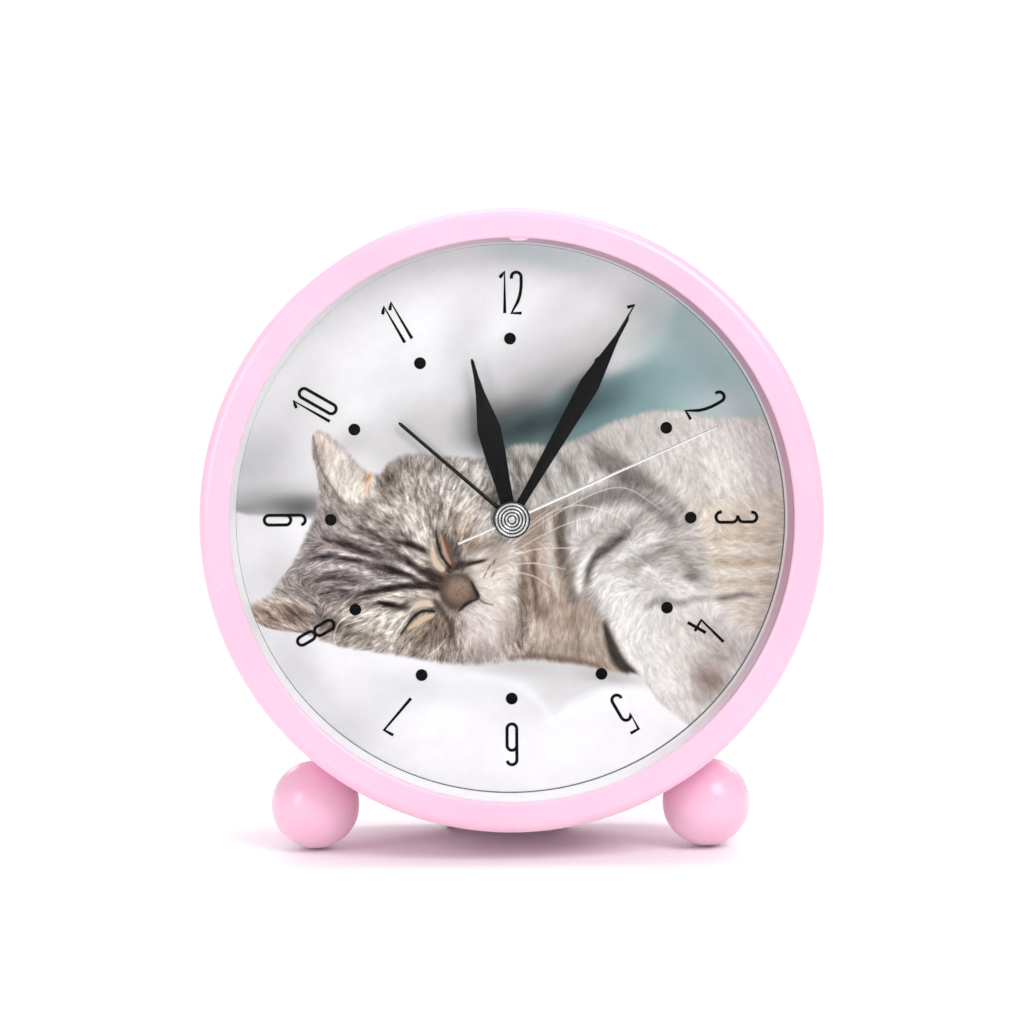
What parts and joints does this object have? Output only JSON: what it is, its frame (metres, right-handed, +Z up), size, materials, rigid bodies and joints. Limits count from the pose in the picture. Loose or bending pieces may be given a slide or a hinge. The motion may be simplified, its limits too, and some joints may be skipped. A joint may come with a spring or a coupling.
{
  "type": "table alarm clock",
  "caption": "Round pink plastic table alarm clock on ball feet, leaning back a little, with a printed sleeping-cat dial, four hands and setting knobs behind.",
  "frame": {"origin": "on the table under the middle of the clock's bounding box", "axes": "+Z up, -Y towards the reader of the dial, +X to the reader's right; the dial leans back 8 degrees"},
  "size_m": [0.11, 0.0504, 0.1143],
  "materials": {
    "pink_plastic": "high gloss",
    "clear_lens": "clear polished",
    "printed_dial": "satin print",
    "white_plastic": "fine satin",
    "knob_plastic": "satin gloss",
    "black_plastic": "fine texture",
    "gear_plastic": "natural acetal",
    "black_hand": "satin black",
    "silver_hand": "bright",
    "steel": "bright",
    "iron": "dull",
    "magnet": "dark",
    "brass": "bright",
    "copper": "lacquered wire",
    "board": "lacquered",
    "chip": "resin",
    "crystal_can": "bright",
    "battery_can": "printed can",
    "heel_rubber": "soft"
  },
  "bodies": {
    "case": {"bezel": "pink_plastic", "lens": "clear_lens", "dial_ring": "pink_plastic", "dial": "printed_dial", "dial_plate": "white_plastic", "case_shell": "pink_plastic", "foot_left": "pink_plastic", "foot_right": "pink_plastic", "foot_screws": "steel", "heel_pad": "heel_rubber", "back_cover": "pink_plastic", "back_cover_screws": "steel", "battery_tray": "white_plastic", "battery": "battery_can", "battery_spring": "steel", "battery_contact": "steel", "movement_front_plate": "black_plastic", "movement_nut": "steel", "movement_mid_plate": "black_plastic", "movement_rear_cover": "black_plastic", "movement_screws": "steel", "stator": "iron", "coil_core": "iron", "coil_bobbin": "black_plastic", "coil_winding": "copper", "circuit_board": "board", "circuit_chip": "chip", "quartz_crystal": "crystal_can", "buzzer_ring": "white_plastic", "buzzer_disc": "brass", "alarm_contact": "brass", "switch_base": "white_plastic", "switch_spring": "steel"},
    "second_hand": {"second_hand": "silver_hand", "second_hand_cap": "silver_hand", "second_arbor": "steel", "second_wheel": "gear_plastic", "second_pinion": "gear_plastic"},
    "rotor": {"rotor_magnet": "magnet", "rotor_pinion": "gear_plastic"},
    "step_wheel": {"step_wheel": "gear_plastic"},
    "third_wheel": {"third_wheel": "gear_plastic"},
    "centre_wheel": {"centre_wheel": "gear_plastic", "clutch_washer": "brass"},
    "minute_hand": {"minute_hand": "black_hand", "cannon_pinion": "gear_plastic"},
    "minute_wheel": {"minute_wheel": "gear_plastic"},
    "hour_hand": {"hour_hand": "black_hand", "hour_wheel": "gear_plastic"},
    "alarm_hand": {"alarm_hand": "black_hand", "alarm_wheel": "gear_plastic"},
    "time_set_knob": {"time_set_knob": "knob_plastic", "time_set_pinion": "gear_plastic"},
    "alarm_set_knob": {"alarm_set_knob": "knob_plastic", "alarm_set_pinion": "gear_plastic"},
    "alarm_switch": {"alarm_switch": "knob_plastic"},
    "battery_door": {"battery_door": "pink_plastic"}
  },
  "joints": [
    {"name": "second_hand", "type": "hinge", "parent": "case", "child": "second_hand", "pos_m": [0, -0.00892, 0.05884], "axis": [0, 0.9903, -0.1392], "continuous": true},
    {"name": "rotor", "type": "hinge", "parent": "case", "child": "rotor", "pos_m": [-0.00495, 0.00766, 0.06908], "axis": [0, 0.9903, -0.1392], "continuous": true},
    {"name": "step_wheel", "type": "hinge", "parent": "case", "child": "step_wheel", "pos_m": [0, 0.00598, 0.06432], "axis": [0, 0.9903, -0.1392], "continuous": true},
    {"name": "third_wheel", "type": "hinge", "parent": "case", "child": "third_wheel", "pos_m": [0, 0.00072, 0.0484], "axis": [0, 0.9903, -0.1392], "continuous": true},
    {"name": "centre_wheel", "type": "hinge", "parent": "case", "child": "centre_wheel", "pos_m": [0, 0.00068, 0.05749], "axis": [0, 0.9903, -0.1392], "continuous": true},
    {"name": "time_set_knob", "type": "hinge", "parent": "case", "child": "time_set_knob", "pos_m": [0.01663, 0.0114, 0.05971], "axis": [0, 0.9903, -0.1392], "continuous": true},
    {"name": "minute_hand", "type": "hinge", "parent": "case", "child": "minute_hand", "pos_m": [0, -0.00892, 0.05884], "axis": [0, 0.9903, -0.1392], "continuous": true},
    {"name": "minute_wheel", "type": "hinge", "parent": "case", "child": "minute_wheel", "pos_m": [0.00735, -0.00014, 0.06384], "axis": [0, 0.9903, -0.1392], "continuous": true},
    {"name": "hour_hand", "type": "hinge", "parent": "case", "child": "hour_hand", "pos_m": [0, -0.00892, 0.05884], "axis": [0, 0.9903, -0.1392], "continuous": true},
    {"name": "alarm_set_knob", "type": "hinge", "parent": "case", "child": "alarm_set_knob", "pos_m": [-0.0096, 0.01088, 0.05606], "axis": [0, 0.9903, -0.1392], "continuous": true},
    {"name": "alarm_hand", "type": "hinge", "parent": "case", "child": "alarm_hand", "pos_m": [0, -0.00892, 0.05884], "axis": [0, 0.9903, -0.1392], "continuous": true},
    {"name": "alarm_switch", "type": "slide", "parent": "case", "child": "alarm_switch", "axis": [0, 0.1392, 0.9903], "range_m": [0, 0.004]},
    {"name": "battery_door", "type": "hinge", "parent": "case", "child": "battery_door", "pos_m": [0, 0.01038, 0.01725], "axis": [-1, 0, 0], "range_deg": [0, 90]}
  ],
  "couplings": [
    {"joint": "rotor", "follows": "second_hand", "ratio": 30},
    {"joint": "step_wheel", "follows": "second_hand", "ratio": -5},
    {"joint": "third_wheel", "follows": "second_hand", "ratio": -0.13333},
    {"joint": "centre_wheel", "follows": "second_hand", "ratio": 0.016667},
    {"joint": "minute_hand", "follows": "time_set_knob", "ratio": 1},
    {"joint": "minute_wheel", "follows": "time_set_knob", "ratio": -0.33333},
    {"joint": "hour_hand", "follows": "time_set_knob", "ratio": 0.083333},
    {"joint": "alarm_hand", "follows": "alarm_set_knob", "ratio": -0.33333}
  ]
}
